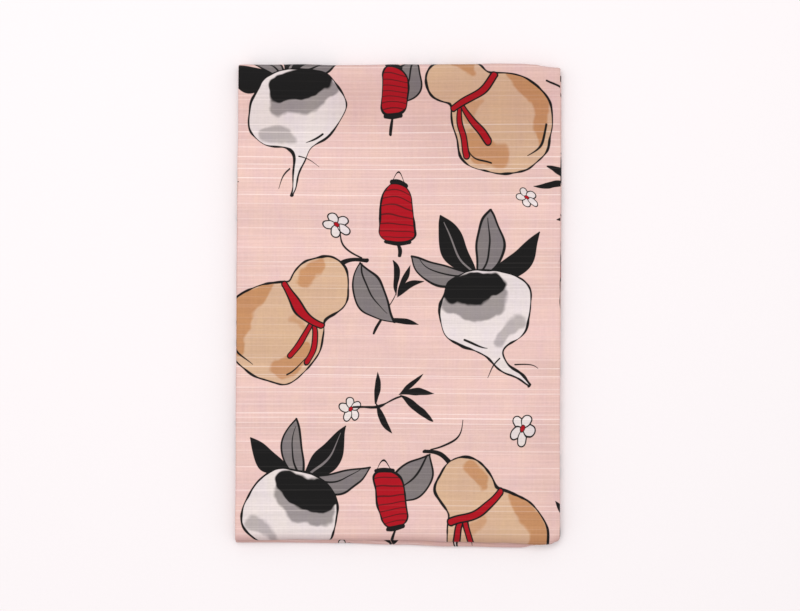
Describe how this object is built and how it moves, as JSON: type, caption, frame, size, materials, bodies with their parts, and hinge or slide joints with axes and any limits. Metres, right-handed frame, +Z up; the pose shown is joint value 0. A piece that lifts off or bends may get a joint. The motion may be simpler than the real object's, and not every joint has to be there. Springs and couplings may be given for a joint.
{
  "type": "folded furoshiki",
  "caption": "Square wrapping cloth of printed pink slub cotton, folded lengthwise and then back and forth into a flat oblong that lies on a surface.",
  "frame": {"origin": "on the surface that the cloth lies on, under the middle of its outline", "axes": "+Z up, out of the printed face; +Y towards the single middle fold that wraps the whole stack; +X to the right as seen from above with that fold away from the viewer"},
  "size_m": [0.1756, 0.2604, 0.0084],
  "materials": {
    "printed_cotton": "matt plain-woven slub cotton, dusty pink ground with a pigment print"
  },
  "bodies": {
    "root": {"folded_cloth": "printed_cotton"}
  },
  "joints": []
}
